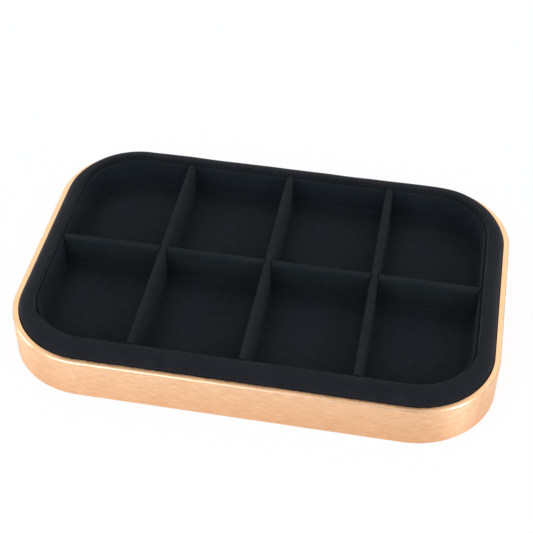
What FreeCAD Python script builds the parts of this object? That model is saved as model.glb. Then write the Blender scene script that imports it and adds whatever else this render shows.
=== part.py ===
import FreeCAD, Part
import math
import os
from types import SimpleNamespace

import Sketcher
from FreeCAD import Placement, Rotation, Vector

# A jewelry tray: a metal band bent round a velvet-covered rim, and inside it a
# velvet insert that lifts out, with an egg-crate of dividers standing in it.
# Millimetres, +Z up, the origin in the middle of the underside.

# Driving sizes, by the piece that they belong to. A share is a part of the size
# that its name says.
SIZES = {
    # plan of the tray, over the metal band
    "tray_length": 320,
    "tray_width": 216,
    "corner_radius": 55,
    # metal band: flat bar on edge
    "band_thick": 3.7,
    "band_height": 30,
    "band_chamfer": 0.5,
    "band_edge_break": 0.3,
    "band_gap": 0.3,
    # felt under the base board, a little below the band's lower edge
    "felt_thick": 1.0,
    "felt_proud": 0.5,
    "felt_gap": 0.4,
    # tabs on the inside of the band, let into the base board
    "tab_reach": 14,
    "tab_width": 16,
    "tab_thick": 1.5,
    "tab_clearance": 0.15,
    "tab_place_share": 0.38,
    # base board and its countersunk wood screws
    "base_thick": 6,
    "screw_shank": 2.5,
    "screw_head_share": 0.7,
    "screw_clearance": 0.05,
    "screw_recess_share": 0.6,
    "screw_recess_width": 0.6,
    "screw_recess_depth": 0.7,
    "tab_screw_cover": 0.6,
    "rim_screw_grip_share": 0.6,
    "rim_screw_long_share": 0.19,
    "rim_screw_short_share": 0.3,
    # rim: a frame of board, a foam roll on top and a velvet cover round both
    "rim_frame_thick": 9.9,
    "rim_velvet": 0.75,
    "rim_shoulder_drop": 0.5,
    "rim_foam_skirt": 2.0,
    "rim_foam_roll": 0.4,
    "rim_top_flat": 1.0,
    # insert: floor board, foam, lining and a thin covered wall round them
    "insert_gap": 0.35,
    "wall_board": 1.1,
    "wall_velvet": 0.35,
    "wall_drop": 3.4,
    "wall_round_share": 0.4,
    "floor_board_thick": 3,
    "floor_foam_thick": 4,
    "lining_thick": 0.8,
    # dividers
    "divider_board": 4,
    "divider_velvet": 0.45,
    "divider_rise": 1.9,
    "divider_round_share": 0.42,
    "divider_gap": 0.3,
    "lap_gap": 0.3,
    # glue line between a board and its cover, and how far a cut runs past a face
    "glue_gap": 0.05,
    "overrun": 1.0,
}
COLUMNS = 4
SAME_PLACE = 1e-4

doc = FreeCAD.newDocument("jewelry_tray")
sheet = doc.addObject("Spreadsheet::Sheet", "Sizes")
for row, (alias, value) in enumerate(SIZES.items(), start=1):
    sheet.set(f"A{row}", alias)
    sheet.set(f"B{row}", str(value))
    sheet.setAlias(f"B{row}", alias)
doc.recompute()


class Dim:
    """A length of the tray: its formula over the sheet's cells, and its value."""

    def __init__(self, formula, value):
        self.formula = formula
        self.value = value

    def __add__(self, other):
        return Dim(f"({self.formula} + {other.formula})", self.value + other.value)

    def __sub__(self, other):
        return Dim(f"({self.formula} - {other.formula})", self.value - other.value)

    def __neg__(self):
        return Dim(f"(-{self.formula})", -self.value)

    def __mul__(self, factor):
        factor = factor if isinstance(factor, Dim) else Dim(str(factor), factor)
        return Dim(f"({self.formula} * {factor.formula})", self.value * factor.value)

    def __truediv__(self, divisor):
        return Dim(f"({self.formula} / {divisor})", self.value / divisor)


ZERO = Dim("0", 0)
size = SimpleNamespace(**{alias: Dim(f"Sizes.{alias}", value) for alias, value in SIZES.items()})


def bind(target, prop, dim):
    target.setExpression(prop, dim.formula)


# Sketches and features


def new_body(label):
    body = doc.addObject("PartDesign::Body", label)
    body.Label = label
    body.Placement = Placement()
    return body


def new_sketch(body, name, height=ZERO, role="XY_Plane"):
    """A sketch on one of the body's own planes, lifted off it by height."""
    sketch = body.newObject("Sketcher::SketchObject", name)
    plane = next(f for f in body.Origin.OriginFeatures if f.Role == role)
    sketch.AttachmentSupport = [(plane, "")]
    sketch.MapMode = "FlatFace"
    bind(sketch, "AttachmentOffset.Base.z", height)
    return sketch


def dimension(sketch, kind, references, dim):
    index = sketch.addConstraint(Sketcher.Constraint(kind, *references, dim.value))
    bind(sketch, f"Constraints[{index}]", dim)


def place_point(sketch, geometry, point, x, y):
    """Fix a point of a sketch by its two distances from the sketch's origin."""
    for kind, axis, dim in (("DistanceX", -2, x), ("DistanceY", -1, y)):
        if abs(dim.value) < SAME_PLACE:
            sketch.addConstraint(Sketcher.Constraint("PointOnObject", geometry, point, axis))
        elif dim.value > 0:
            dimension(sketch, kind, (-1, 1, geometry, point), dim)
        else:
            dimension(sketch, kind, (geometry, point, -1, 1), -dim)


def rectangle(sketch, low_x, low_y, high_x, high_y):
    corners = [
        Vector(low_x.value, low_y.value),
        Vector(high_x.value, low_y.value),
        Vector(high_x.value, high_y.value),
        Vector(low_x.value, high_y.value),
    ]
    sides = [Part.LineSegment(corners[i], corners[(i + 1) % 4]) for i in range(4)]
    lines = sketch.addGeometry(sides, False)
    for i in range(4):
        sketch.addConstraint(Sketcher.Constraint("Coincident", lines[i], 2, lines[(i + 1) % 4], 1))
        sketch.addConstraint(Sketcher.Constraint(("Horizontal", "Vertical")[i % 2], lines[i]))
    place_point(sketch, lines[0], 1, low_x, low_y)
    place_point(sketch, lines[2], 1, high_x, high_y)


def circle(sketch, x, y, radius):
    ring = sketch.addGeometry(Part.Circle(Vector(x.value, y.value), Vector(0, 0, 1), radius.value), False)
    dimension(sketch, "Radius", (ring,), radius)
    place_point(sketch, ring, 3, x, y)


def tray_outline(sketch, inset):
    """The tray's plan, a rectangle with round corners, drawn in all round by inset."""
    length = size.tray_length - inset * 2
    width = size.tray_width - inset * 2
    radius = size.corner_radius - inset
    x = length.value / 2
    y = width.value / 2
    r = radius.value
    centres = [(x - r, r - y), (x - r, y - r), (r - x, y - r), (r - x, r - y)]
    starts = [(r - x, -y), (x, r - y), (x - r, y), (-x, y - r)]
    ends = [(x - r, -y), (x, y - r), (r - x, y), (-x, r - y)]
    outline = []
    for i in range(4):
        outline.append(Part.LineSegment(Vector(*starts[i]), Vector(*ends[i])))
        corner = Part.Circle(Vector(*centres[i]), Vector(0, 0, 1), r)
        outline.append(Part.ArcOfCircle(corner, (i - 1) * math.pi / 2, i * math.pi / 2))
    edges = sketch.addGeometry(outline, False)
    for i in range(8):
        sketch.addConstraint(Sketcher.Constraint("Tangent", edges[i], 2, edges[(i + 1) % 8], 1))
    for i in range(4):
        sketch.addConstraint(Sketcher.Constraint(("Horizontal", "Vertical")[i % 2], edges[2 * i]))
    for i in (3, 5, 7):
        sketch.addConstraint(Sketcher.Constraint("Equal", edges[1], edges[i]))
    sketch.addConstraint(Sketcher.Constraint("Symmetric", edges[0], 1, edges[4], 1, -1, 1))
    dimension(sketch, "DistanceX", (edges[6], 1, edges[2], 1), length)
    dimension(sketch, "DistanceY", (edges[0], 1, edges[4], 1), width)
    dimension(sketch, "Radius", (edges[1],), radius)


def pad(body, name, sketch, length):
    feature = body.newObject("PartDesign::Pad", name)
    feature.Profile = sketch
    bind(feature, "Length", length)
    doc.recompute()
    return feature


def pocket_up(body, name, sketch, depth):
    """Cut upwards from the sketch, as into the underside of a board."""
    feature = body.newObject("PartDesign::Pocket", name)
    feature.Profile = sketch
    feature.Reversed = True
    bind(feature, "Length", depth)
    doc.recompute()
    return feature


def pocket_through(body, name, sketch):
    """Cut right through the body, to both sides of the sketch."""
    feature = body.newObject("PartDesign::Pocket", name)
    feature.Profile = sketch
    feature.SideType = "Symmetric"
    feature.Type = "ThroughAll"
    doc.recompute()
    return feature


def plate(body, name, inset, bottom, top):
    """A sheet in the tray's plan."""
    sketch = new_sketch(body, f"{name}_plan", bottom)
    tray_outline(sketch, inset)
    return pad(body, name, sketch, top - bottom)


def ring(body, name, outer, inner, bottom, top):
    """A wall that follows the tray's plan."""
    sketch = new_sketch(body, f"{name}_plan", bottom)
    tray_outline(sketch, outer)
    tray_outline(sketch, inner)
    return pad(body, name, sketch, top - bottom)


def ring_cavity(body, name, outer, inner, bottom, top):
    """A channel cut upwards into a wall that follows the tray's plan."""
    sketch = new_sketch(body, f"{name}_plan", bottom)
    tray_outline(sketch, outer)
    tray_outline(sketch, inner)
    return pocket_up(body, name, sketch, top - bottom)


def level_face(feature, height, facing):
    """The level face at a height, facing up (1) or down (-1)."""
    for face in feature.Shape.Faces:
        low = face.BoundBox.ZMin
        high = face.BoundBox.ZMax
        if abs(low - height.value) < SAME_PLACE and abs(high - height.value) < SAME_PLACE:
            if face.normalAt(0, 0).z * facing > 0:
                return face
    raise RuntimeError(f"{feature.Label} has no level face at {height.value}")


def edge_names(feature, wanted):
    names = []
    for index, edge in enumerate(feature.Shape.Edges, start=1):
        if any(edge.isSame(other) for other in wanted):
            names.append(f"Edge{index}")
    return names


def outer_loop(face):
    return face.OuterWire.Edges


def inner_loop(face):
    return [edge for wire in face.Wires if not wire.isSame(face.OuterWire) for edge in wire.Edges]


def fillet(body, name, feature, edges, radius):
    rounded = body.newObject("PartDesign::Fillet", name)
    rounded.Base = (feature, edge_names(feature, edges))
    bind(rounded, "Radius", radius)
    doc.recompute()
    return rounded


def chamfer(body, name, feature, edges, width):
    bevelled = body.newObject("PartDesign::Chamfer", name)
    bevelled.Base = (feature, edge_names(feature, edges))
    bind(bevelled, "Size", width)
    doc.recompute()
    return bevelled


# Part primitives, placed by named sizes


def primitive(kind, name, x, y, z, **sizes):
    solid = doc.addObject(f"Part::{kind}", name)
    for prop, dim in sizes.items():
        bind(solid, prop, dim)
    for axis, dim in (("x", x), ("y", y), ("z", z)):
        bind(solid, f"Placement.Base.{axis}", dim)
    return solid


def boolean(kind, name, base, tool):
    result = doc.addObject(f"Part::{kind}", name)
    result.Base = base
    result.Tool = tool
    return result


def group(label, members):
    """Like pieces that share one node, each a solid of its own."""
    compound = doc.addObject("Part::Compound", label)
    compound.Label = label
    compound.Links = members
    compound.Placement = Placement()
    return compound


# Levels, from the surface that the tray stands on

band_bottom = size.felt_thick - size.felt_proud
band_top = band_bottom + size.band_height
base_top = size.felt_thick + size.base_thick

rim_wrap = size.rim_velvet + size.glue_gap
rim_shoulder = band_top - size.rim_shoulder_drop
rim_frame_top = rim_shoulder - size.rim_foam_skirt
rim_foam_crown = size.rim_frame_thick - size.rim_foam_roll - size.rim_top_flat
rim_foam_top = rim_shoulder + rim_foam_crown
rim_top = rim_foam_top + rim_wrap

floor_board_top = base_top + size.floor_board_thick
floor_foam_top = floor_board_top + size.floor_foam_thick
floor_top = floor_foam_top + size.lining_thick
wall_wrap = size.wall_velvet + size.glue_gap
wall_top = rim_top - size.wall_drop
wall_board_top = wall_top - wall_wrap

divider_wrap = size.divider_velvet + size.glue_gap
divider_top = wall_top + size.divider_rise
divider_thick = size.divider_board + divider_wrap * 2
lap_level = floor_top + (divider_top - floor_top) / 2

# How far each wall stands in from the band's outer face

inside_band = size.band_thick + size.band_gap
rim_frame_outside = inside_band + rim_wrap
rim_frame_middle = rim_frame_outside + size.rim_frame_thick / 2
rim_frame_inside = rim_frame_outside + size.rim_frame_thick
inside_rim = rim_frame_inside + rim_wrap
insert_outside = inside_rim + size.insert_gap
wall_board_outside = insert_outside + wall_wrap
wall_board_inside = wall_board_outside + size.wall_board
inside_wall = wall_board_inside + wall_wrap

# Places of the tabs and of the screws, round the plan

half_length = size.tray_length / 2
half_width = size.tray_width / 2
straight_length = size.tray_length - size.corner_radius * 2
straight_width = size.tray_width - size.corner_radius * 2
tab_step = straight_length * size.tab_place_share
tab_middle = size.band_thick + size.tab_reach / 2

# Each tab's middle, and the side of the band that carries it.
tab_places = []
for side in (-1, 1):
    for step in (-1, 0, 1):
        tab_places.append((tab_step * step, (half_width - tab_middle) * side, "long"))
    tab_places.append(((half_length - tab_middle) * side, ZERO, "short"))

corner_reach = (size.corner_radius - rim_frame_middle) * math.sqrt(0.5)
rim_screw_places = []
for side_x in (-1, 1):
    for side_y in (-1, 1):
        along_long = straight_length * size.rim_screw_long_share
        rim_screw_places.append((along_long * side_x, (half_width - rim_frame_middle) * side_y))
        along_short = straight_width * size.rim_screw_short_share
        rim_screw_places.append(((half_length - rim_frame_middle) * side_x, along_short * side_y))
        corner_x = straight_length / 2 + corner_reach
        corner_y = straight_width / 2 + corner_reach
        rim_screw_places.append((corner_x * side_x, corner_y * side_y))

head_height = size.tab_thick * size.screw_head_share
head_width = size.screw_shank + head_height * 2
hole_radius = size.screw_shank / 2 + size.screw_clearance
head_hole_radius = head_width / 2 + size.screw_clearance
rim_screw_grip = (rim_frame_top - base_top) * size.rim_screw_grip_share


# Metal band: flat bar bent on edge to the plan, its ends welded and brushed
# over, with a bright chamfer along the outer top edge.


def metal_band():
    body = new_body("metal_band")
    bar = ring(body, "bar", ZERO, size.band_thick, band_bottom, band_top)
    top_edge = outer_loop(level_face(bar, band_top, 1))
    bright = chamfer(body, "bright_chamfer", bar, top_edge, size.band_chamfer)
    low_edge = outer_loop(level_face(bright, band_bottom, -1))
    chamfer(body, "edge_break", bright, low_edge, size.band_edge_break)
    return body


# Tabs: small plates welded flat to the inside of the band, each with a
# countersunk hole for one screw into the base board.


def tab(name, x, y, side):
    along_x = size.tab_width if side == "long" else size.tab_reach
    along_y = size.tab_reach if side == "long" else size.tab_width
    blank = primitive(
        "Box", f"{name}_blank", x - along_x / 2, y - along_y / 2, size.felt_thick,
        Length=along_x, Width=along_y, Height=size.tab_thick,
    )
    bore = primitive(
        "Cylinder", f"{name}_bore", x, y, size.felt_thick - size.overrun,
        Radius=hole_radius, Height=size.tab_thick + size.overrun * 2,
    )
    sink = primitive(
        "Cone", f"{name}_sink", x, y, size.felt_thick,
        Radius1=head_hole_radius, Radius2=hole_radius, Height=head_height,
    )
    return boolean("Cut", name, blank, boolean("Fuse", f"{name}_hole", bore, sink))


def band_tabs():
    tabs = [tab(f"tab_{i}", *place) for i, place in enumerate(tab_places, start=1)]
    return group("band_tabs", tabs)


# Countersunk wood screws, head down, with a cross recess in the head. A head
# takes up a share of a tab's thickness, and its sides slope at 45 degrees.


def screw(name, x, y, length):
    bottom = size.felt_thick
    head = primitive(
        "Cone", f"{name}_head", x, y, bottom,
        Radius1=head_width / 2, Radius2=size.screw_shank / 2, Height=head_height,
    )
    shank = primitive(
        "Cylinder", f"{name}_shank", x, y, bottom + head_height,
        Radius=size.screw_shank / 2, Height=length - head_height,
    )
    reach = head_width * size.screw_recess_share
    slots = []
    for wide, deep in ((reach, size.screw_recess_width), (size.screw_recess_width, reach)):
        slot = primitive(
            "Box", f"{name}_slot", x - wide / 2, y - deep / 2, bottom - size.overrun,
            Length=wide, Width=deep, Height=size.screw_recess_depth + size.overrun,
        )
        slots.append(slot)
    whole = boolean("Fuse", f"{name}_blank", head, shank)
    return boolean("Cut", name, whole, boolean("Fuse", f"{name}_recess", *slots))


def tab_screws():
    length = size.base_thick - size.tab_screw_cover
    screws = [screw(f"tab_screw_{i}", x, y, length) for i, (x, y, side) in enumerate(tab_places, start=1)]
    return group("tab_screws", screws)


def rim_screws():
    length = size.base_thick + rim_screw_grip
    screws = [screw(f"rim_screw_{i}", x, y, length) for i, (x, y) in enumerate(rim_screw_places, start=1)]
    return group("rim_screws", screws)


# Base board: fibreboard dropped inside the band on to the tabs, with a seat
# routed for each tab and a hole for each screw.


def base_board():
    body = new_body("base_board")
    plate(body, "board", inside_band, size.felt_thick, base_top)

    seats = new_sketch(body, "tab_seat_plan", size.felt_thick)
    for x, y, side in tab_places:
        across = size.tab_width / 2 + size.tab_clearance
        inner = size.tab_reach / 2 + size.tab_clearance
        outer = size.tab_reach / 2 + size.overrun
        if side == "long":
            low_y, high_y = (y - outer, y + inner) if y.value < 0 else (y - inner, y + outer)
            rectangle(seats, x - across, low_y, x + across, high_y)
        else:
            low_x, high_x = (x - outer, x + inner) if x.value < 0 else (x - inner, x + outer)
            rectangle(seats, low_x, y - across, high_x, y + across)
    pocket_up(body, "tab_seats", seats, size.tab_thick + size.tab_clearance)

    pilots = new_sketch(body, "tab_pilot_plan", size.felt_thick)
    for x, y, side in tab_places:
        circle(pilots, x, y, hole_radius)
    pocket_up(body, "tab_pilots", pilots, size.base_thick - size.tab_screw_cover + size.screw_clearance)

    holes = new_sketch(body, "rim_hole_plan", size.felt_thick)
    for x, y in rim_screw_places:
        circle(holes, x, y, hole_radius)
    drilled = pocket_up(body, "rim_holes", holes, size.base_thick + size.overrun)

    mouths = inner_loop(level_face(drilled, size.felt_thick, -1))
    chamfer(body, "rim_hole_sinks", drilled, mouths, head_height)
    return body


# Felt glued under the base board, over the tabs and the screw heads. The tray
# stands on it.


def bottom_felt():
    body = new_body("bottom_felt")
    plate(body, "sheet", size.band_thick + size.felt_gap, ZERO, size.felt_thick)
    return body


# Rim frame: a ring of fibreboard on the base board, screwed from below.


def rim_frame():
    body = new_body("rim_frame")
    ring(body, "frame", rim_frame_outside, rim_frame_inside, base_top, rim_frame_top)
    pilots = new_sketch(body, "pilot_plan", base_top)
    for x, y in rim_screw_places:
        circle(pilots, x, y, hole_radius)
    pocket_up(body, "pilots", pilots, rim_screw_grip + size.screw_clearance)
    return body


# Rim foam: a moulded roll glued on the frame, a quarter round that rises from
# the band's lip to a narrow crown and turns down tightly into the well. It is
# laid in eight lengths, four straight and four round the corners, end to end.


def rolled_ring(label, outer, inner, bottom, top, grown):
    """A ring with the roll's section, its two top edges rounded, grown by a wrap."""
    body = new_body(label)
    blank = ring(body, "blank", outer, inner, bottom, top)
    outer_edge = outer_loop(level_face(blank, top, 1))
    crowned = fillet(body, "crown", blank, outer_edge, rim_foam_crown + grown)
    inner_edge = inner_loop(level_face(crowned, top, 1))
    fillet(body, "roll", crowned, inner_edge, size.rim_foam_roll + grown)
    return body


def rim_foam():
    roll = rolled_ring("foam_roll", rim_frame_outside, rim_frame_inside, rim_frame_top, rim_foam_top, ZERO)
    cuts_x = [-half_length, -straight_length / 2, straight_length / 2, half_length]
    cuts_y = [-half_width, -straight_width / 2, straight_width / 2, half_width]
    bottom = rim_frame_top - size.overrun
    height = rim_foam_top + size.overrun - bottom
    lengths = []
    for column, row in ((0, 0), (1, 0), (2, 0), (2, 1), (2, 2), (1, 2), (0, 2), (0, 1)):
        name = f"foam_length_{len(lengths) + 1}"
        room = primitive(
            "Box", f"{name}_room", cuts_x[column], cuts_y[row], bottom,
            Length=cuts_x[column + 1] - cuts_x[column], Width=cuts_y[row + 1] - cuts_y[row], Height=height,
        )
        lengths.append(boolean("Common", name, roll, room))
    return group("rim_foam", lengths)


# Rim cover: velvet drawn over the foam and down both sides of the frame.


def rim_cover():
    outside = rolled_ring("rim_cover_outside", inside_band, inside_rim, base_top, rim_top, rim_wrap)
    outer = inside_band + size.rim_velvet
    inner = inside_rim - size.rim_velvet
    bottom = base_top - size.overrun
    ceiling = rim_foam_top + size.glue_gap
    hollow = rolled_ring("rim_cover_hollow", outer, inner, bottom, ceiling, size.glue_gap)
    return boolean("Cut", "rim_cover", outside, hollow)


# Insert: a floor board with a thin bent wall glued round it, foam on the board
# and a velvet lining over the foam. It lifts out of the rim in one piece.


def insert_floor_board():
    body = new_body("insert_floor_board")
    plate(body, "board", wall_board_inside + size.glue_gap, base_top, floor_board_top)
    return body


def insert_wall_board():
    body = new_body("insert_wall_board")
    ring(body, "strip", wall_board_outside, wall_board_inside, base_top, wall_board_top)
    return body


def insert_wall_cover():
    body = new_body("insert_wall_cover")
    blank = ring(body, "blank", insert_outside, inside_wall, base_top, wall_top)
    edge_radius = (inside_wall - insert_outside) * size.wall_round_share
    top_face = level_face(blank, wall_top, 1)
    fillet(body, "top_edges", blank, outer_loop(top_face) + inner_loop(top_face), edge_radius)

    outer = insert_outside + size.wall_velvet
    ring_cavity(body, "board_room", outer, inside_wall + size.overrun, base_top, floor_board_top)
    inner = inside_wall - size.wall_velvet
    ring_cavity(body, "hollow", outer, inner, base_top, wall_board_top + size.glue_gap)
    return body


def floor_foam():
    body = new_body("floor_foam")
    plate(body, "sheet", inside_wall + size.glue_gap, floor_board_top, floor_foam_top)
    return body


def floor_lining():
    body = new_body("floor_lining")
    plate(body, "sheet", inside_wall + size.glue_gap, floor_foam_top, floor_top)
    return body


# Dividers: boards with velvet drawn over the top, both faces and the ends. One
# long divider is notched from the top, and the cross dividers, notched from
# below, drop over it.

divider_run = half_length - inside_wall - size.divider_gap
cross_run = half_width - inside_wall - size.divider_gap
column_pitch = (size.tray_length - inside_wall * 2 + divider_thick) / COLUMNS
notch_half_width = divider_thick / 2 + size.lap_gap
board_round = size.divider_board * size.divider_round_share


def bar(label, half_run, thick, bottom, top, round_radius):
    """A board on edge, along X, with its two long top edges rounded."""
    body = new_body(label)
    plan = new_sketch(body, "plan", bottom)
    rectangle(plan, -half_run, -thick / 2, half_run, thick / 2)
    blank = pad(body, "blank", plan, top - bottom)
    long_edges = [e for e in level_face(blank, top, 1).Edges if e.BoundBox.XLength > half_run.value]
    fillet(body, "top_edges", blank, long_edges, round_radius)
    return body


def cut_notches(body, places, low, high):
    sketch = new_sketch(body, "notch_plan", ZERO, "XZ_Plane")
    for x in places:
        rectangle(sketch, x - notch_half_width, low, x + notch_half_width, high)
    pocket_through(body, "notches", sketch)


def divider(label, half_run, notches):
    """The bodies of a divider: its board, its cover and the hollow in the cover."""
    board = bar(
        f"{label}_board", half_run - divider_wrap, size.divider_board,
        floor_top, divider_top - divider_wrap, board_round,
    )
    cut_notches(board, *notches)
    outside = bar(
        f"{label}_outside", half_run, divider_thick,
        floor_top, divider_top, board_round + divider_wrap,
    )
    cut_notches(outside, *notches)
    hollow = bar(
        f"{label}_hollow", half_run - size.divider_velvet, divider_thick - size.divider_velvet * 2,
        floor_top - size.overrun, divider_top - size.divider_velvet, board_round + size.glue_gap,
    )
    return board, outside, hollow


def turn_across(body, x):
    """Stand a divider across the tray, at x along it."""
    body.Placement = Placement(Vector(), Rotation(Vector(0, 0, 1), 90))
    bind(body, "Placement.Base.x", x)


long_notches = (
    [-column_pitch, ZERO, column_pitch],
    lap_level - size.lap_gap / 2,
    divider_top + size.overrun,
)
cross_notches = ([ZERO], floor_top - size.overrun, lap_level + size.lap_gap / 2)

long_board, long_outside, long_hollow = divider("long_divider", divider_run, long_notches)

parts = [
    metal_band(),
    band_tabs(),
    base_board(),
    tab_screws(),
    rim_screws(),
    bottom_felt(),
    rim_frame(),
    rim_foam(),
    rim_cover(),
    insert_floor_board(),
    insert_wall_board(),
    insert_wall_cover(),
    floor_foam(),
    floor_lining(),
    long_board,
    boolean("Cut", "long_divider_cover", long_outside, long_hollow),
]
for place, step in (("left", -1), ("middle", 0), ("right", 1)):
    board, outside, hollow = divider(f"{place}_divider", cross_run, cross_notches)
    for body in (board, outside, hollow):
        turn_across(body, column_pitch * step)
    parts += [board, boolean("Cut", f"{place}_divider_cover", outside, hollow)]

doc.recompute()

for thing in doc.Objects:
    if "Invalid" in thing.State or "Error" in thing.State:
        raise RuntimeError(f"{thing.Label} did not recompute: {thing.State}")
    if thing.TypeId == "PartDesign::Pocket" and thing.Shape.Volume >= thing.BaseFeature.Shape.Volume:
        raise RuntimeError(f"{thing.Label} cut nothing")
for part in parts:
    if part.Shape.isNull() or not part.Shape.isValid():
        raise RuntimeError(f"{part.Label} has no valid shape")

os.makedirs("parts", exist_ok=True)
for part in parts:
    part.Shape.exportStep(f"parts/{part.Label}.step")
    print(f"{part.Label}: {len(part.Shape.Solids)} solids, {part.Shape.Volume:.0f} mm3")
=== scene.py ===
import math

import bmesh
import bpy
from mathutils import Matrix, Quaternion, Vector, noise


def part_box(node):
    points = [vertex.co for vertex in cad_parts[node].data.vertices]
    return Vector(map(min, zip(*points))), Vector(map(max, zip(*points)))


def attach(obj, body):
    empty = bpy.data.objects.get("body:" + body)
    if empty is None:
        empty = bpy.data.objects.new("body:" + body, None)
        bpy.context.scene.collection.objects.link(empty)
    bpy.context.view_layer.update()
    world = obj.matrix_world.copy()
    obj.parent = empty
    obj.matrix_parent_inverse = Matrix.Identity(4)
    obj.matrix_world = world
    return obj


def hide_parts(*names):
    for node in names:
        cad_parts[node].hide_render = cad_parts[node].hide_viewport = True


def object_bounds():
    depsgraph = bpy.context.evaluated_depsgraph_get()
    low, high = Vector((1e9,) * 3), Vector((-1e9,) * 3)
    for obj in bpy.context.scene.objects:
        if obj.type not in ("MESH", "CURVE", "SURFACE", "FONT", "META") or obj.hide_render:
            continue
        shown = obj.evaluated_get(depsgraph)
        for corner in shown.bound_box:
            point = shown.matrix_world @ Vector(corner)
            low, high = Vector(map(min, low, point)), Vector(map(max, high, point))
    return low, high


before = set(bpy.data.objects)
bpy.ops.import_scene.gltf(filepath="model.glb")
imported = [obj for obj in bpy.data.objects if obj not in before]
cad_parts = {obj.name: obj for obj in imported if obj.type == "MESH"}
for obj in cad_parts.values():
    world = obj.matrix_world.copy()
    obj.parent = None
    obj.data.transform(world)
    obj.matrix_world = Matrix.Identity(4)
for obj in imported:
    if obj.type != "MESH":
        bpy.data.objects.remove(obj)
cad_low, cad_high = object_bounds()


# Metal band
# A flat aluminium bar bent on edge to the tray's plan, its ends welded and brushed over. The bar is
# brushed along its length and anodised rose gold, with a bright chamfer cut on its outer top edge.

half_length = cad_high.x
half_width = cad_high.y
corner_radius = 0.055
corner_steps = 28
run_step = 0.005
same_place = 0.00002

band_low, band_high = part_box("metal_band")
band_thick = 0.0037
band_chamfer = 0.0005
band_edge_break = 0.0003
band_inner_break = 0.00012
faces_up = 0.9
faces_aside = 0.5


def pick(kind, wanted):
    """In edit mode, select only the faces or edges that wanted says yes to."""
    bpy.ops.mesh.select_mode(type={"faces": "FACE", "edges": "EDGE"}[kind])
    bpy.ops.mesh.select_all(action="DESELECT")
    mesh = bpy.context.object.data
    drawn = bmesh.from_edit_mesh(mesh)
    drawn.normal_update()
    for item in getattr(drawn, kind):
        if wanted(item):
            item.select_set(True)
    drawn.select_flush_mode()
    bmesh.update_edit_mesh(mesh)


def plan_inset(point):
    """How far a point lies in from the band's outer face, seen from above."""
    past_x = abs(point.x) - (half_length - corner_radius)
    past_y = abs(point.y) - (half_width - corner_radius)
    beyond = math.hypot(max(past_x, 0), max(past_y, 0))
    return corner_radius - beyond - min(max(past_x, past_y), 0)


def on_loop(edge, inset, height):
    """Whether an edge lies on the tray's plan, drawn in by inset, at a height."""
    return all(
        abs(plan_inset(v.co) - inset) < same_place and abs(v.co.z - height) < same_place
        for v in edge.verts
    )


def start_piece(name, add, size, middle, **values):
    """A primitive of side 1, brought to its size and place and left in edit mode."""
    bpy.ops.object.select_all(action="DESELECT")
    add(size=1, **values)
    piece = bpy.context.object
    piece.name = name
    piece.data.name = name
    bpy.ops.object.mode_set(mode="EDIT")
    bpy.ops.mesh.select_all(action="SELECT")
    bpy.ops.transform.resize(value=size)
    bpy.ops.transform.translate(value=middle)
    return piece


def plan_size(inset):
    """Length and width of the tray's plan, drawn in all round by inset."""
    return 2 * (half_length - inset), 2 * (half_width - inset)


def plan_sheet(name, inset, height):
    """A flat face in the tray's plan, drawn in all round by inset and left in edit mode."""
    piece = start_piece(name, bpy.ops.mesh.primitive_plane_add, (*plan_size(inset), 1), (0, 0, height))
    bpy.ops.mesh.bevel(offset=corner_radius - inset, segments=corner_steps, affect="VERTICES")
    for run in (half_length - corner_radius, half_width - corner_radius):
        pick("edges", lambda e: abs(e.calc_length() - 2 * run) < same_place)
        bpy.ops.mesh.subdivide(number_cuts=2 * round(run / run_step) - 1)
    return piece


def draw_up(height):
    """In edit mode, draw a flat shape up to a closed solid."""
    bpy.ops.mesh.select_all(action="SELECT")
    bpy.ops.mesh.extrude_region_move(TRANSFORM_OT_translate={"value": (0, 0, height)})
    bpy.ops.mesh.select_all(action="SELECT")
    bpy.ops.mesh.normals_make_consistent(inside=False)


def plan_wall(name, outer, inner, low, high):
    """A closed wall that follows the tray's plan, left in edit mode."""
    piece = plan_sheet(name, outer, low)
    bpy.ops.mesh.select_mode(type="FACE")
    bpy.ops.mesh.select_all(action="SELECT")
    bpy.ops.mesh.inset(thickness=inner - outer)
    bpy.ops.mesh.delete(type="FACE")
    draw_up(high - low)
    return piece


def bevel_loop(inset, height, size, steps):
    """In edit mode, bevel the edges that follow the plan, drawn in by inset, at a height."""
    pick("edges", lambda e: on_loop(e, inset, height))
    bpy.ops.mesh.bevel(offset=size, segments=steps, affect="EDGES")


band = plan_wall("brushed_band", 0, band_thick, band_low.z, band_high.z)
bevel_loop(0, band_high.z, band_chamfer, steps=1)
bevel_loop(0, band_low.z, band_edge_break, steps=1)
bevel_loop(band_thick, band_high.z, band_inner_break, steps=1)


def activate(piece):
    """Select a piece alone."""
    bpy.ops.object.select_all(action="DESELECT")
    piece.select_set(True)
    bpy.context.view_layer.objects.active = piece


def smooth(piece, angle):
    """Leave edit mode and shade the piece smooth, with its sharper edges kept."""
    bpy.ops.object.mode_set(mode="OBJECT")
    activate(piece)
    bpy.ops.object.shade_smooth_by_angle(angle=math.radians(angle))


brushing_map = "brushing"


def run_round(point, east):
    """Distance round the band from the middle of its back, by way of its east side first."""
    straight_x = half_length - corner_radius
    straight_y = half_width - corner_radius
    quarter = straight_x + corner_radius * math.pi / 2 + straight_y
    past_x = abs(point.x) - straight_x
    past_y = abs(point.y) - straight_y
    if past_x <= 0:
        along = abs(point.x)
    elif past_y <= 0:
        along = quarter - abs(point.y)
    else:
        along = straight_x + corner_radius * math.atan2(past_x, past_y)
    to_here = along if point.y > 0 else 2 * quarter - along
    return to_here if east else 4 * quarter - to_here


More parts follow.
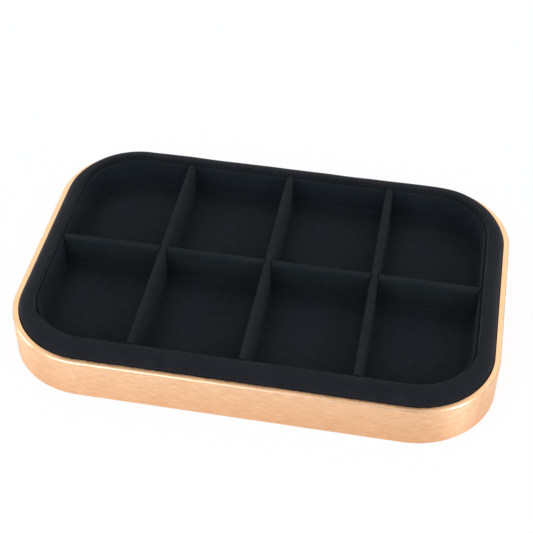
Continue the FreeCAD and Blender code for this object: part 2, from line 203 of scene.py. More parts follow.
def map_brushing(piece):
    """A map in metres: along the bar one way, and up, over and down its section the other way."""
    layer = piece.data.uv_layers.new(name=brushing_map)
    for face in piece.data.polygons:
        step_out = face.center + face.normal * same_place
        inwards = abs(face.normal.z) < faces_aside and plan_inset(step_out) > plan_inset(face.center)
        for index in face.loop_indices:
            point = piece.data.vertices[piece.data.loops[index].vertex_index].co
            across = point.z + plan_inset(point)
            if inwards:
                across = 2 * band_high.z + band_thick - point.z
            elif face.normal.z < -faces_aside:
                across = point.z - plan_inset(point)
            layer.data[index].uv = (run_round(point, face.center.x >= 0), across)


def feed(tree, source, socket):
    """Feed an input from another socket, or set it to a plain value."""
    if isinstance(source, bpy.types.NodeSocket):
        tree.links.new(source, socket)
    else:
        socket.default_value = source


def feed_inputs(tree, node, values):
    """Feed a node's inputs by name, with _ for a space."""
    for name, source in values.items():
        feed(tree, source, node.inputs[name.replace("_", " ")])


def add_node(tree, kind, **values):
    """A shader node with its inputs fed."""
    made = tree.nodes.new(f"ShaderNode{kind}")
    feed_inputs(tree, made, values)
    return made


def add_math(tree, operation, *sources):
    """What a sum of sockets and plain numbers comes to."""
    made = tree.nodes.new("ShaderNodeMath")
    made.operation = operation
    for index, source in enumerate(sources):
        feed(tree, source, made.inputs[index])
    return made.outputs[0]


def mix_colours(tree, factor, first, second, blend="MIX"):
    """A colour between two, each of them a socket or a plain colour."""
    made = tree.nodes.new("ShaderNodeMix")
    made.data_type = "RGBA"
    made.blend_type = blend
    # The node has a set of sockets for each kind of data, under the same names, so they go by number.
    for index, source in ((0, factor), (6, first), (7, second)):
        feed(tree, source, made.inputs[index])
    return made.outputs[2]


def new_finish(name, **values):
    """A material with a Principled shader, and that shader."""
    finish = bpy.data.materials.new(name)
    finish.use_nodes = True
    shader = finish.node_tree.nodes["Principled BSDF"]
    feed_inputs(finish.node_tree, shader, values)
    return finish, shader


def new_effect(name, inputs, outputs):
    """An empty node group with its sockets, and its two ends."""
    effect = bpy.data.node_groups.new(name, "ShaderNodeTree")
    for label, kind in inputs:
        effect.interface.new_socket(label, in_out="INPUT", socket_type=f"NodeSocket{kind}")
    for label, kind in outputs:
        effect.interface.new_socket(label, in_out="OUTPUT", socket_type=f"NodeSocket{kind}")
    return effect, effect.nodes.new("NodeGroupInput"), effect.nodes.new("NodeGroupOutput")


def use_effect(tree, effect, **values):
    """A node group placed in a tree with its inputs fed."""
    made = tree.nodes.new("ShaderNodeGroup")
    made.node_tree = effect
    feed_inputs(tree, made, values)
    return made


def bump(tree, height, shader, strength, distance):
    """Feed a height to a shader's normal."""
    made = add_node(tree, "Bump", Strength=strength, Distance=distance, Height=height)
    feed(tree, made.outputs["Normal"], shader.inputs["Normal"])


# Scratches to a metre along the bar, scratches to a metre across it, and their detail.
fine_scratches = (45, 5000, 3.0)
short_scratches = (150, 1700, 3.0)
wide_scratches = (60, 700, 2.0)
short_share = 0.7
wide_share = 0.3
scratch_depth = 0.00002


def scratches(tree, place, along, across, detail):
    """A noise drawn out along the bar."""
    stretch = add_node(tree, "Mapping", Vector=place, Scale=(along, across, 1))
    lines = tree.nodes.new("ShaderNodeTexNoise")
    lines.noise_dimensions = "2D"
    drawn_out = stretch.outputs["Vector"]
    feed_inputs(tree, lines, {"Vector": drawn_out, "Scale": 1, "Detail": detail, "Roughness": 0.6})
    return lines.outputs["Fac"]


def map_range(tree, value, **ends):
    """A value brought from one range to another."""
    return add_node(tree, "MapRange", Value=value, **ends).outputs["Result"]


def hairlines():
    """Scratches along the bar: a tint with painted shade that deepens towards its foot, a roughness and
    a height.
    """
    colours = [("Dark", "Color"), ("Light", "Color"), ("Foot", "Color")]
    effect, start, end = new_effect(
        "hairlines",
        colours + [("Smooth", "Float"), ("Rough", "Float")],
        [("Color", "Color"), ("Roughness", "Float"), ("Height", "Float")],
    )
    given = start.outputs
    place = effect.nodes.new("ShaderNodeUVMap")
    place.uv_map = brushing_map
    fine = scratches(effect, place.outputs["UV"], *fine_scratches)
    short = scratches(effect, place.outputs["UV"], *short_scratches)
    wide = scratches(effect, place.outputs["UV"], *wide_scratches)
    wide_part = add_math(effect, "MULTIPLY", wide, wide_share)
    both = add_math(effect, "MULTIPLY_ADD", short, short_share, wide_part)
    spread = map_range(effect, both, From_Min=0.35, From_Max=0.65)
    tint = mix_colours(effect, spread, given["Dark"], given["Light"])
    split = add_node(effect, "SeparateXYZ", Vector=place.outputs["UV"])
    # Painted shade: the band's colour is darkened and deepened towards its foot, standing in for the
    # floor's shadow mirrored there.
    rise = map_range(effect, split.outputs["Y"], From_Min=band_low.z, From_Max=band_high.z)
    depth = mix_colours(effect, rise, given["Foot"], (1, 1, 1, 1))
    polish = map_range(
        effect, short, From_Min=0.3, From_Max=0.7, To_Min=given["Smooth"], To_Max=given["Rough"]
    )
    feed(effect, mix_colours(effect, 1, tint, depth, "MULTIPLY"), end.inputs["Color"])
    feed(effect, polish, end.inputs["Roughness"])
    feed(effect, fine, end.inputs["Height"])
    return effect


hairlines_effect = hairlines()


def brushed_metal(name, dark, light, smoothest, roughest, anisotropy, relief):
    """Rose gold brushed along the bar, so that highlights spread across the scratches."""
    finish, shader = new_finish(name, Metallic=1.0, Anisotropic=anisotropy, Anisotropic_Rotation=0.25)
    tree = finish.node_tree
    lines = use_effect(
        tree, hairlines_effect, Dark=dark, Light=light, Foot=painted_foot_shade, Smooth=smoothest, Rough=roughest
    )
    feed(tree, lines.outputs["Color"], shader.inputs["Base Color"])
    feed(tree, lines.outputs["Roughness"], shader.inputs["Roughness"])
    bump(tree, lines.outputs["Height"], shader, relief, scratch_depth)
    along = tree.nodes.new("ShaderNodeTangent")
    along.direction_type = "UV_MAP"
    along.uv_map = brushing_map
    feed(tree, along.outputs["Tangent"], shader.inputs["Tangent"])
    return finish


band_dark = (0.87, 0.49, 0.272, 1)
band_light = (1.0, 0.67, 0.415, 1)
# Painted shade towards the band's foot: the band's colour is multiplied by this there.
painted_foot_shade = (0.92, 0.81, 0.74, 1)
lip_dark = (0.85, 0.49, 0.26, 1)
lip_light = (0.975, 0.6, 0.344, 1)
# The chamfer's colours are darker than the band's: painted shade that dims the lamp's highlight in the
# chamfer.
chamfer_shaded_dark = (0.70, 0.44, 0.268, 1)
chamfer_shaded_light = (0.765, 0.515, 0.34, 1)

band_finish = brushed_metal(
    "brushed_rose_gold", band_dark, band_light,
    smoothest=0.38, roughest=0.48, anisotropy=0.75, relief=0.35,
)
lip_finish = brushed_metal(
    "satin_rose_gold", lip_dark, lip_light,
    smoothest=0.24, roughest=0.32, anisotropy=0.5, relief=0.2,
)
chamfer_finish = brushed_metal(
    "bright_cut_rose_gold_shaded", chamfer_shaded_dark, chamfer_shaded_light,
    smoothest=0.29, roughest=0.38, anisotropy=0.3, relief=0.1,
)


def on_lip(face):
    """Whether a face is part of the band's flat top."""
    return face.normal.z > faces_up


def on_chamfer(face):
    """Whether a face is part of the chamfer on the band's outer top edge."""
    outside = plan_inset(face.calc_center_median()) < band_chamfer
    return outside and faces_aside < face.normal.z < faces_up


for finish in (band_finish, lip_finish, chamfer_finish):
    band.data.materials.append(finish)
for slot, wanted in ((1, on_lip), (2, on_chamfer)):
    pick("faces", wanted)
    band.active_material_index = slot
    bpy.ops.object.material_slot_assign()
smooth(band, angle=30)
map_brushing(band)
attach(band, "frame")
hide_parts("metal_band")


# Tabs
# Eight small aluminium plates, sheared and drilled, welded flat to the inside of the band. The base
# board is screwed to them.


def dress(finish, *nodes):
    """Give carried-over nodes a finish."""
    for name in nodes:
        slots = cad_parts[name].data.materials
        slots.clear()
        slots.append(finish)


def clouds(tree, place, scale, **values):
    """A noise, with its scale to the metre."""
    return add_node(tree, "TexNoise", Vector=place, Scale=scale, **values).outputs["Fac"]


def mottle():
    """Cloudy patches and small specks: a tint between two colours, and a height."""
    effect, start, end = new_effect(
        "mottle",
        [("Dark", "Color"), ("Light", "Color"), ("Patches", "Float"), ("Specks", "Float")],
        [("Color", "Color"), ("Height", "Float")],
    )
    given = start.outputs
    place = effect.nodes.new("ShaderNodeTexCoord").outputs["Object"]
    patches = clouds(effect, place, given["Patches"], Detail=4.0, Roughness=0.6)
    specks = clouds(effect, place, given["Specks"], Detail=3.0, Roughness=0.7)
    both = add_math(effect, "ADD", patches, specks)
    spread = map_range(effect, both, From_Min=0.7, From_Max=1.3)
    feed(effect, mix_colours(effect, spread, given["Dark"], given["Light"]), end.inputs["Color"])
    feed(effect, specks, end.inputs["Height"])
    return effect


mottle_effect = mottle()
mottle_strength = 0.5


def mottled(name, dark, light, patches, specks, relief, **values):
    """A finish with patches and specks to the metre, and the specks' depth as relief."""
    finish, shader = new_finish(name, **values)
    tree = finish.node_tree
    look = use_effect(tree, mottle_effect, Dark=dark, Light=light, Patches=patches, Specks=specks)
    feed(tree, look.outputs["Color"], shader.inputs["Base Color"])
    bump(tree, look.outputs["Height"], shader, mottle_strength, relief)
    return finish


tab_finish = mottled(
    "mill_aluminium", dark=(0.55, 0.55, 0.56, 1), light=(0.78, 0.78, 0.79, 1),
    patches=60, specks=900, relief=0.00004, Metallic=1.0, Roughness=0.42,
)
dress(tab_finish, "band_tabs")


# Base board
# Fibreboard sawn to the plan, with a seat routed for each tab and its holes drilled. It drops into
# the band on to the tabs.

fibreboard = mottled(
    "fibreboard", dark=(0.18, 0.105, 0.055, 1), light=(0.34, 0.215, 0.125, 1),
    patches=45, specks=1500, relief=0.00012, Roughness=0.85, Specular_IOR_Level=0.25,
)
dress(fibreboard, "base_board")


# Screws
# Countersunk wood screws of zinc-plated steel: short ones through the tabs into the base board, and
# longer ones through the board into the rim frame.

screw_finish = mottled(
    "zinc_plated_steel", dark=(0.42, 0.42, 0.44, 1), light=(0.66, 0.67, 0.70, 1),
    patches=400, specks=3000, relief=0.00002, Metallic=1.0, Roughness=0.3,
)
dress(screw_finish, "tab_screws", "rim_screws")


# Bottom felt
# Black felt cut to the plan and glued under the base board, over the tabs and the screw heads. The
# tray stands on it.

felt_low, felt_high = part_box("bottom_felt")
felt_inset = half_length - felt_high.x
felt_edge_round = 0.0003
felt_edge_steps = 3
soft_angle = 50

felt_finish = mottled(
    "black_felt", dark=(0.006, 0.006, 0.007, 1), light=(0.022, 0.022, 0.025, 1),
    patches=120, specks=2600, relief=0.0004,
    Roughness=1.0, Specular_IOR_Level=0.1, Sheen_Weight=0.15, Sheen_Roughness=0.6,
)
felt = plan_sheet("felt_bottom", felt_inset, felt_low.z)
draw_up(felt_high.z - felt_low.z)
bevel_loop(felt_inset, felt_low.z, felt_edge_round, felt_edge_steps)
smooth(felt, soft_angle)
felt.data.materials.append(felt_finish)


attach(felt, "frame")
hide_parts("bottom_felt")


# Rim frame
# A ring sawn from fibreboard to the plan. It stands on the base board, screwed to it from below, and
# carries the rim's foam.

dress(fibreboard, "rim_frame")


# Rim foam
# A moulded roll of polyurethane foam, glued along the top of the rim frame: a quarter round that
# rises from the band's lip and turns down tightly into the well.

foam_low, foam_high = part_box("rim_foam")
rim_foam_outer = half_length - foam_high.x
rim_foam_width = 0.0099
rim_foam_crown = 0.0085
rim_foam_roll = 0.0004
crown_steps = 14
roll_steps = 5

foam_finish = mottled(
    "foam", dark=(0.30, 0.30, 0.29, 1), light=(0.62, 0.61, 0.58, 1),
    patches=250, specks=1900, relief=0.0006, Roughness=0.95, Specular_IOR_Level=0.2,
)


def rolled_wall(name, outer, width, low, high, crown, roll):
    """A wall in the tray's plan, its outer top edge in a big round and its inner in a small one."""
    piece = plan_wall(name, outer, outer + width, low, high)
    bevel_loop(outer, high, crown, crown_steps)
    bevel_loop(outer + width, high, roll, roll_steps)
    return piece


rim_pad = rolled_wall(
    "rim_foam_roll", rim_foam_outer, rim_foam_width, foam_low.z, foam_high.z,
    rim_foam_crown, rim_foam_roll,
)
smooth(rim_pad, soft_angle)
rim_pad.data.materials.append(foam_finish)
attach(rim_pad, "frame")
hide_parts("rim_foam")


# Rim velvet
# Black velvet drawn over the foam roll and glued down both sides of the rim frame. Its pile lies
# unevenly, and it looks paler where it is seen along the pile.

rim_low, rim_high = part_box("rim_cover")
rim_outer = half_length - rim_high.x
rim_width = 0.0115
rim_crown = 0.0093
rim_roll = 0.0012
rim_velvet_thick = 0.00075
rim_tuck = 0.0006
rim_tuck_height = 0.0016
rim_tuck_steps = 4
rim_unevenness = 0.0003
unevenness_size = 0.018
z_axis = 2

# Tufts, patches of nap and strokes to a metre, how the strokes stretch, and how deep the tufts are.
tuft_scale = 1700
nap_scale = 250
stroke_scale = 38
stroke_stretch = (1.0, 0.55, 1.0)
pile_strength = 0.35
pile_depth = 0.0004


def velvet_pile():
    """Velvet: tufts of pile, and paler nap and strokes where the pile leans over."""
    effect, start, end = new_effect(
        "velvet_pile",
        [("Dark", "Color"), ("Light", "Color"), ("Strokes", "Float")],
        [("Color", "Color"), ("Height", "Float")],
    )
    given = start.outputs
    place = effect.nodes.new("ShaderNodeTexCoord").outputs["Object"]
    tufts = clouds(effect, place, tuft_scale, Detail=2.0, Roughness=0.7)
    nap = clouds(effect, place, nap_scale, Detail=3.0, Roughness=0.65)
    lean = add_node(effect, "Mapping", Vector=place, Scale=stroke_stretch).outputs["Vector"]
    strokes = clouds(effect, lean, given["Strokes"], Detail=5.0, Roughness=0.62, Distortion=0.5)
    both = add_math(effect, "ADD", nap, strokes)
    spread = map_range(effect, both, From_Min=0.65, From_Max=1.35)
    feed(effect, mix_colours(effect, spread, given["Dark"], given["Light"]), end.inputs["Color"])
    feed(effect, tufts, end.inputs["Height"])
    return effect


velvet_effect = velvet_pile()


def velvet(name, dark, light, sheen, sheen_colour):
    """Black velvet, with a sheen where it is seen at a slant."""
    finish, shader = new_finish(
        name, Roughness=1.0, Specular_IOR_Level=0.12,
        Sheen_Weight=sheen, Sheen_Roughness=0.42, Sheen_Tint=sheen_colour,
    )
    tree = finish.node_tree
    pile = use_effect(tree, velvet_effect, Dark=dark, Light=light, Strokes=stroke_scale)
    feed(tree, pile.outputs["Color"], shader.inputs["Base Color"])
    bump(tree, pile.outputs["Height"], shader, pile_strength, pile_depth)
    return finish


rim_velvet_finish = velvet(
    "rim_velvet", dark=(0.0083, 0.0080, 0.0092, 1), light=(0.0136, 0.0132, 0.0149, 1),
    sheen=0.09, sheen_colour=(0.9, 0.88, 0.95, 1),
)


def cut(axis, place):
    """In edit mode, cut the whole mesh square across an axis."""
    on_plane = Vector()
    on_plane[axis] = place
    across = Vector()
    across[axis] = 1
    bpy.ops.mesh.select_all(action="SELECT")
    bpy.ops.mesh.bisect(plane_co=on_plane, plane_no=across)


def open_below(height):
    """In edit mode, delete the faces that look down at a height."""

    def looks_down(face):
        at_height = abs(face.calc_center_median().z - height) < same_place
        return at_height and face.normal.z < -faces_up

    pick("faces", looks_down)
    bpy.ops.mesh.delete(type="FACE")


def apply_modifier(piece, kind, **settings):
    """Add a modifier to a piece and apply it."""
    activate(piece)
    modifier = piece.modifiers.new(kind.lower(), kind)
    for name, value in settings.items():
        setattr(modifier, name, value)
    bpy.ops.object.modifier_apply(modifier=modifier.name)


def thicken(piece, thickness):
    """Give a skin its thickness, inwards from its face."""
    apply_modifier(piece, "SOLIDIFY", thickness=thickness, offset=-1, use_even_offset=True)


def make_uneven(piece, amount, lowest):
    """Sink a soft face by up to twice amount, more in some places than in others, above a height."""
    moves = []
    for point in piece.data.vertices:
        if point.co.z > lowest:
            depth = amount * (1 + noise.noise(point.co / unevenness_size))
            moves.append((point, point.normal * depth))
    for point, move in moves:
        point.co -= move


def outwards(point):
    """The way out of the tray at a point near its edge, seen from above."""
    past_x = max(abs(point.x) - half_length + corner_radius, 0)
    past_y = max(abs(point.y) - half_width + corner_radius, 0)
    return Vector((math.copysign(past_x, point.x), math.copysign(past_y, point.y), 0)).normalized()


def ease(share):
    """Nought up to 0, one from 1 on, and a smooth rise between."""
    share = min(max(share, 0), 1)
    return share * share * (3 - 2 * share)


def tuck_in(piece, deepest):
    """Press the lower end of the roll inwards where it meets the band's lip."""
    for point in piece.data.vertices:
        share = ease(1 - abs(point.co.z - band_high.z) / rim_tuck_height)
        if plan_inset(point.co) < deepest:
            point.co -= outwards(point.co) * rim_tuck * share


rim_middle = rim_outer + rim_width / 2
rim_velvet = rolled_wall("rim_velvet", rim_outer, rim_width, rim_low.z, rim_high.z, rim_crown, rim_roll)
for step in range(-rim_tuck_steps, rim_tuck_steps + 1):
    cut(z_axis, band_high.z + step / rim_tuck_steps * rim_tuck_height)
open_below(rim_low.z)
bpy.ops.object.mode_set(mode="OBJECT")
tuck_in(rim_velvet, rim_middle)
make_uneven(rim_velvet, rim_unevenness, band_high.z + rim_tuck_height)
thicken(rim_velvet, rim_velvet_thick)
smooth(rim_velvet, soft_angle)
rim_velvet.data.materials.append(rim_velvet_finish)


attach(rim_velvet, "frame")
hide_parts("rim_cover")


# Insert board
# Greyboard floor of the lift-out insert, and a thin strip of the same board bent round it and glued to
# its edge as a wall.

greyboard = mottled(
    "greyboard", dark=(0.15, 0.148, 0.14, 1), light=(0.30, 0.295, 0.28, 1),
    patches=90, specks=1300, relief=0.0001, Roughness=0.9, Specular_IOR_Level=0.2,
)
dress(greyboard, "insert_floor_board", "insert_wall_board")


# Insert wall velvet
# Velvet glued over the insert's wall, from the underside of the floor board up the outside, over the
# top edge and down to the floor inside.

wall_low, wall_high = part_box("insert_wall_cover")
wall_outer = half_length - wall_high.x
wall_width = 0.0019
wall_inner = wall_outer + wall_width
wall_round = 0.00076
wall_round_steps = 4
wall_velvet_thick = 0.00035
floor_board_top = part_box("insert_floor_board")[1].z
well_sheen = 0.015
well_sheen_colour = (0.86, 0.94, 1, 1)

well_velvet_finish = velvet(
    "well_velvet", dark=(0.0084, 0.0106, 0.0122, 1), light=(0.0131, 0.0163, 0.0186, 1),
    sheen=well_sheen, sheen_colour=well_sheen_colour,
)
wall_velvet = plan_wall("wall_velvet", wall_outer, wall_inner, wall_low.z, wall_high.z)
for inset in (wall_outer, wall_inner):
    bevel_loop(inset, wall_high.z, wall_round, wall_round_steps)
open_below(wall_low.z)
pick("edges", lambda e: on_loop(e, wall_inner, wall_low.z))
bpy.ops.transform.translate(value=(0, 0, floor_board_top - wall_low.z))
bpy.ops.object.mode_set(mode="OBJECT")
thicken(wall_velvet, wall_velvet_thick)
smooth(wall_velvet, soft_angle)
wall_velvet.data.materials.append(well_velvet_finish)
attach(wall_velvet, "insert")
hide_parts("insert_wall_cover")


# Floor foam
# A sheet of polyurethane foam cut to the plan and laid on the insert's floor board, under the lining.
# It makes the floor of the compartments soft.

pad_low, pad_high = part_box("floor_foam")
pad_inset = half_length - pad_high.x
pad_edge_round = 0.0006
pad_edge_steps = 3

floor_pad = plan_sheet("floor_pad", pad_inset, pad_low.z)
draw_up(pad_high.z - pad_low.z)
for height in (pad_low.z, pad_high.z):
    bevel_loop(pad_inset, height, pad_edge_round, pad_edge_steps)
smooth(floor_pad, soft_angle)
floor_pad.data.materials.append(foam_finish)
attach(floor_pad, "insert")
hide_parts("floor_foam")


# Floor lining
# One sheet of velvet laid over the foam, the floor of all eight compartments. The foam lifts it a
# little between the dividers, and its edge turns up against the wall.

lining_low, lining_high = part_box("floor_lining")
lining_inset = half_length - lining_high.x
lining_step = 0.003
lining_turn_up = 0.0026
lining_turn_steps = 5
lining_crown = 0.0008
lining_pressure = 4
lining_frames = 14
held_half_width = 0.0042
clear_of_divider = 0.003
clear_run = 0.006

cross_places = {}
for place in ("left", "middle", "right"):
    cross_low, cross_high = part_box(f"{place}_divider_cover")
    cross_places[place] = (cross_low.x + cross_high.x) / 2


def away_from_dividers(point):
    """Distance from a point to the nearest divider's middle line, seen from above."""
    return min(abs(point.y), *(abs(point.x - middle) for middle in cross_places.values()))


flat_inset = lining_inset + lining_turn_up
flat_radius = corner_radius - flat_inset
lining = start_piece(
    "floor_velvet", bpy.ops.mesh.primitive_grid_add, (*plan_size(flat_inset), 1), (0, 0, lining_high.z),
    x_subdivisions=round(2 * half_length / lining_step),
    y_subdivisions=round(2 * half_width / lining_step),
)
bpy.ops.object.mode_set(mode="OBJECT")


def round_corner(point):
    """Draw a point of the square grid into the plan's rounded corner."""
    across_x = (abs(point.x) - half_length + corner_radius) / flat_radius
    across_y = (abs(point.y) - half_width + corner_radius) / flat_radius
    if across_x > 0 and across_y > 0:
        rounded_x = flat_radius * across_x * math.sqrt(1 - across_y**2 / 2)
        rounded_y = flat_radius * across_y * math.sqrt(1 - across_x**2 / 2)
        point.x = math.copysign(half_length - corner_radius + rounded_x, point.x)
        point.y = math.copysign(half_width - corner_radius + rounded_y, point.y)


held = lining.vertex_groups.new(name="held")
for point in lining.data.vertices:
    round_corner(point.co)
    at_edge = plan_inset(point.co) < flat_inset + same_place
    if at_edge or away_from_dividers(point.co) < held_half_width:
        held.add([point.index], 1.0, "REPLACE")
cloth = lining.modifiers.new("cloth", "CLOTH")
cloth.settings.vertex_group_mass = "held"
cloth.settings.effector_weights.gravity = 0
cloth.settings.use_pressure = True
cloth.settings.uniform_pressure_force = lining_pressure
cloth.point_cache.frame_start = 1
cloth.point_cache.frame_end = lining_frames
for frame_number in range(1, lining_frames + 1):
    bpy.context.scene.frame_set(frame_number)
bpy.ops.object.modifier_apply(modifier=cloth.name)
bpy.context.scene.frame_set(1)
lining.vertex_groups.clear()
highest = max(point.co.z for point in lining.data.vertices) - lining_high.z
for point in lining.data.vertices:
    point.co.z = lining_high.z + (point.co.z - lining_high.z) * min(1, lining_crown / highest)


def move_selected(move):
    """In edit mode, move each selected vertex by what move gives for its place."""
    drawn = bmesh.from_edit_mesh(bpy.context.object.data)
    for vertex in drawn.verts:
        if vertex.select:
            vertex.co += move(vertex.co)
    bmesh.update_edit_mesh(bpy.context.object.data)


bpy.ops.object.mode_set(mode="EDIT")
pick("edges", lambda e: e.is_boundary)
for step in range(lining_turn_steps):
    before = step / lining_turn_steps * math.pi / 2
    after = (step + 1) / lining_turn_steps * math.pi / 2
    out = lining_turn_up * (math.sin(after) - math.sin(before))
    up = lining_turn_up * (math.cos(before) - math.cos(after))
    bpy.ops.mesh.extrude_edges_move()
    move_selected(
        lambda co: outwards(co) * out
        + Vector((0, 0, up * ease((away_from_dividers(co) - clear_of_divider) / clear_run)))
    )
bpy.ops.mesh.select_all(action="SELECT")
bpy.ops.mesh.extrude_region_move()
move_selected(lambda co: Vector((0, 0, lining_low.z - co.z)))
bpy.ops.mesh.select_all(action="SELECT")
bpy.ops.mesh.normals_make_consistent(inside=False)
smooth(lining, soft_angle)
lining.data.materials.append(well_velvet_finish)
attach(lining, "insert")
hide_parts("floor_lining")


# Dividers
# Boards with velvet glued over the top, both faces and the ends. The long one is notched from the
# top and the three cross dividers from below, so that they drop over it.

divider_low, divider_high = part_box("long_divider_cover")
divider_velvet_thick = 0.00045
divider_round = 0.00218
divider_round_steps = 8
divider_end_round = 0.0005
divider_end_steps = 4
over_wall = 0.0012
wall_clear = 0.0003
over_wall_rise = 0.0004
notch_half_width = 0.0028
lap_gap = 0.0003
divider_flare = 0.0013
divider_flare_height = 0.0026
flare_levels = (0.12, 0.28, 0.48, 0.72, 1)
flare_stops = (0, 0.33, 0.67, 1)
lap_level = (divider_low.z + divider_high.z) / 2

divider_finish = velvet(
    "divider_velvet", dark=(0.0084, 0.0104, 0.0110, 1), light=(0.0129, 0.0157, 0.0165, 1),
    sheen=well_sheen, sheen_colour=well_sheen_colour,
)
blackened_board = mottled(
    "blackened_board", dark=(0.006, 0.006, 0.006, 1), light=(0.018, 0.017, 0.016, 1),
    patches=60, specks=1500, relief=0.0001, Roughness=0.9, Specular_IOR_Level=0.15,
)
dress(blackened_board, *(f"{place}_divider_board" for place in ("long", "left", "middle", "right")))


def box_between(name, low, high):
    """A block between two corners, left in edit mode."""
    return start_piece(name, bpy.ops.mesh.primitive_cube_add, high - low, (low + high) / 2)


def divider_velvet(place, notches, notch_low, notch_high, reach):
    """The velvet of one divider, open below, with a notch for each divider that it crosses.

    Its ends may reach a little over the top of the insert's wall.
    """
    node = f"{place}_divider_cover"
    low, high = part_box(node)
    length_axis = 0 if high.x - low.x > high.y - low.y else 1
    width_axis = 1 - length_axis
    middle_line = (low[width_axis] + high[width_axis]) / 2
    run = (high - low)[length_axis]
    ends = (low[length_axis], high[length_axis])
    stops = (*ends, *notches)
    over_wall_level = wall_high.z + wall_clear
    piece = box_between(f"{place}_divider_velvet", low, high)

    def along(edge):
        return abs((edge.verts[1].co - edge.verts[0].co)[length_axis]) > same_place

    def lies_at(edge, axis, level):
        return all(abs(v.co[axis] - level) < same_place for v in edge.verts)

    pick("edges", along)
    bpy.ops.mesh.subdivide(number_cuts=round(run / run_step))
    pick("edges", lambda e: along(e) and lies_at(e, z_axis, high.z))
    bpy.ops.mesh.bevel(offset=divider_round, segments=divider_round_steps, affect="EDGES")
    open_below(low.z)
    for end in ends:
        pick("edges", lambda e: not e.is_boundary and lies_at(e, length_axis, end))
        bpy.ops.mesh.bevel(offset=divider_end_round, segments=divider_end_steps, affect="EDGES")
    for level in flare_levels:
        cut(z_axis, low.z + level * divider_flare_height)
    for height in (over_wall_level, over_wall_level + over_wall_rise):
        cut(z_axis, height)
    for stop in stops:
        for share in flare_stops:
            cut(length_axis, stop - clear_of_divider - share * clear_run)
            cut(length_axis, stop + clear_of_divider + share * clear_run)
    bpy.ops.object.mode_set(mode="OBJECT")
    for point in piece.data.vertices:
        above = max(0, 1 - (point.co.z - low.z) / divider_flare_height)
        clear = min(abs(point.co[length_axis] - stop) for stop in stops)
        share = above * above * ease((clear - clear_of_divider) / clear_run)
        point.co[width_axis] += math.copysign(divider_flare * share, point.co[width_axis] - middle_line)
        at_end = abs(point.co[length_axis]) > high[length_axis] - divider_end_round - same_place
        if at_end and point.co.z > over_wall_level + over_wall_rise - same_place:
            point.co[length_axis] += math.copysign(reach, point.co[length_axis])
    thicken(piece, divider_velvet_thick)
    for point in piece.data.vertices:
        point.co.z = max(point.co.z, low.z)
    for middle in notches:
        notch_from = Vector((0, 0, notch_low))
        notch_to = Vector((0, 0, notch_high))
        notch_from[length_axis] = middle - notch_half_width
        notch_to[length_axis] = middle + notch_half_width
        notch_from[width_axis] = low[width_axis] - run_step
        notch_to[width_axis] = high[width_axis] + run_step
        cutter = box_between("notch", notch_from, notch_to)
        bpy.ops.object.mode_set(mode="OBJECT")
        apply_modifier(piece, "BOOLEAN", object=cutter, operation="DIFFERENCE", solver="EXACT")
        bpy.data.objects.remove(cutter)
    smooth(piece, soft_angle)
    piece.data.materials.append(divider_finish)
    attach(piece, f"{place}_divider")
    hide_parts(node)


long_notches = list(cross_places.values())
divider_velvet("long", long_notches, lap_level - lap_gap / 2, divider_high.z + run_step, reach=0)
for place in cross_places:
    divider_velvet(place, [0], divider_low.z - run_step, lap_level + lap_gap / 2, reach=over_wall)


# Floor
# A plain sheet of white paper that the tray stands on, with a soft shadow. It is near white to the eye
# and in the metal, lights the tray as paper does, and isn't seen from below.

floor_size = 80.0
floor_drop = 0.0001
floor_white = (0.89, 0.89, 0.89, 1)
plain_white = (1, 1, 1, 1)
seen_white = 0.88

bpy.ops.object.select_all(action="DESELECT")
bpy.ops.mesh.primitive_plane_add(size=floor_size, location=(0, 0, cad_low.z - floor_drop))
ground = bpy.context.object
ground.name = "floor"
ground_finish = bpy.data.materials.new("white_paper")
ground_finish.use_nodes = True
ground_tree = ground_finish.node_tree
ground_tree.nodes.clear()


def seen_level(tree, unseen, seen):
    """The second value for rays from the eye, off metal or through glass, and the first for others."""
    path = tree.nodes.new("ShaderNodeLightPath")
    mask = path.outputs["Is Camera Ray"]
    for name in ("Is Glossy Ray", "Is Transmission Ray"):
        mask = add_math(tree, "MAXIMUM", mask, path.outputs[name])
    return map_range(tree, mask, To_Min=unseen, To_Max=seen)


def mix_shaders(tree, factor, first, second):
    """A shader between two."""
    made = tree.nodes.new("ShaderNodeMixShader")
    for index, source in enumerate((factor, first, second)):
        feed(tree, source, made.inputs[index])
    return made.outputs[0]


paper = add_node(ground_tree, "BsdfDiffuse", Color=floor_white).outputs[0]
white = add_node(ground_tree, "Emission", Color=plain_white, Strength=1.0).outputs[0]
clear = add_node(ground_tree, "BsdfTransparent").outputs[0]
underside = add_node(ground_tree, "NewGeometry").outputs["Backfacing"]
top = mix_shaders(ground_tree, seen_level(ground_tree, 0, seen_white), paper, white)
add_node(ground_tree, "OutputMaterial", Surface=mix_shaders(ground_tree, underside, top, clear))
ground.data.materials.append(ground_finish)


# Light
# Even light from all round, and soft boxes behind, in front and low on both sides. The metal doesn't
# mirror the two fills. Two grey cards, which the eye doesn't see, leave darker patches in its front.

surround_level = 0.62

world = bpy.data.worlds.new("studio")
world.use_nodes = True
bpy.context.scene.world = world
world_tree = world.node_tree
surround = world_tree.nodes["Background"]
feed(world_tree, plain_white, surround.inputs["Color"])
feed(world_tree, seen_level(world_tree, surround_level, 1), surround.inputs["Strength"])


def soft_box(name, place, width, height, power, colour=(1, 1, 1), mirrored=True):
    """A rectangle of light that looks at the tray, seen in the metal or not."""
    aim = (-Vector(place)).to_track_quat("-Z", "Y").to_euler()
    bpy.ops.object.light_add(type="AREA", location=place, rotation=aim)
    box = bpy.context.object
    box.name = name
    box.data.shape = "RECTANGLE"
    box.data.size = width
    box.data.size_y = height
    box.data.energy = power
    box.data.color = colour
    box.visible_glossy = mirrored


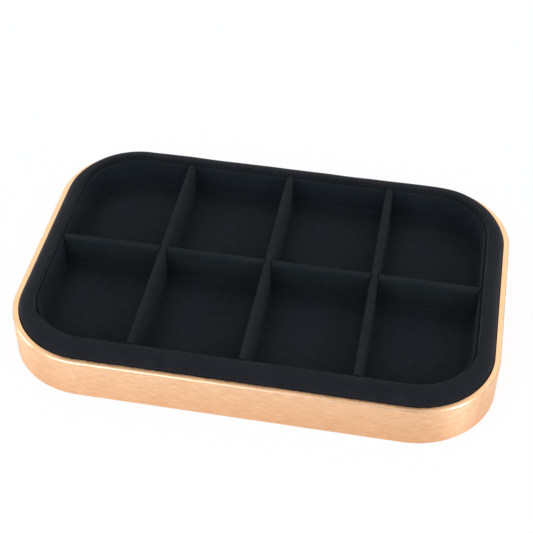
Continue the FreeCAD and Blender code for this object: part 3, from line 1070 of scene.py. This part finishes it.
soft_box("back_fill", (-0.2, 1.2, 1.35), width=1.6, height=1.2, power=7.2, mirrored=False)
soft_box("front_fill", (0.4, -1.3, 1.0), width=1.2, height=1.2, power=4.0, mirrored=False)
soft_box("back_top", (0.0, 1.25, 1.35), width=2.2, height=1.2, power=2.6)
soft_box("front_left", (-0.8, -1.37, 0.85), width=1.2, height=1.2, power=13.8, colour=(0.83, 1.01, 1.24))
soft_box("left_low", (-1.35, -0.25, 0.24), width=0.4, height=0.4, power=3.6, colour=(0.86, 1.0, 1.18))
soft_box("right_low", (1.2, -0.626, 0.5), width=0.14, height=1.0, power=8.8, colour=(0.8, 1.02, 1.25))


def grey_card(name, place, width, height):
    """A card that looks at the tray and leaves a darker patch in the metal."""
    card = start_piece(name, bpy.ops.mesh.primitive_plane_add, (width, height, 1), (0, 0, 0))
    bpy.ops.object.mode_set(mode="OBJECT")
    for point in card.data.vertices:
        point.co = Vector(place) + Vector(place).to_track_quat("-Z", "Y") @ point.co
    card.data.materials.append(greyboard)
    card.visible_camera = False


grey_card("high_card", (0.11, -1.18, 0.92), width=0.44, height=0.7)
grey_card("low_card", (0.08, -1.3, 0.33), width=0.55, height=0.45)


# Camera
# It stands above the front of the tray and a little to its right, with a long lens, and looks at a
# point near the tray's middle.

view_azimuth = math.radians(9.756)
view_elevation = math.radians(43.417)
view_roll = math.radians(0.778)
view_distance = 0.9305
view_aim = Vector((-0.00675, 0.0333, band_low.z))
lens_mm = 88.17
sensor_mm = 36

view_back = Vector((
    math.sin(view_azimuth) * math.cos(view_elevation),
    -math.cos(view_azimuth) * math.cos(view_elevation),
    math.sin(view_elevation),
))
view_turn = (-view_back).to_track_quat("-Z", "Y") @ Quaternion((0, 0, 1), view_roll)
bpy.ops.object.camera_add(location=view_aim + view_back * view_distance, rotation=view_turn.to_euler())
camera = bpy.context.object
camera.data.lens = lens_mm
camera.data.sensor_width = sensor_mm
bpy.context.scene.camera = camera
bpy.context.scene.view_settings.view_transform = "Standard"
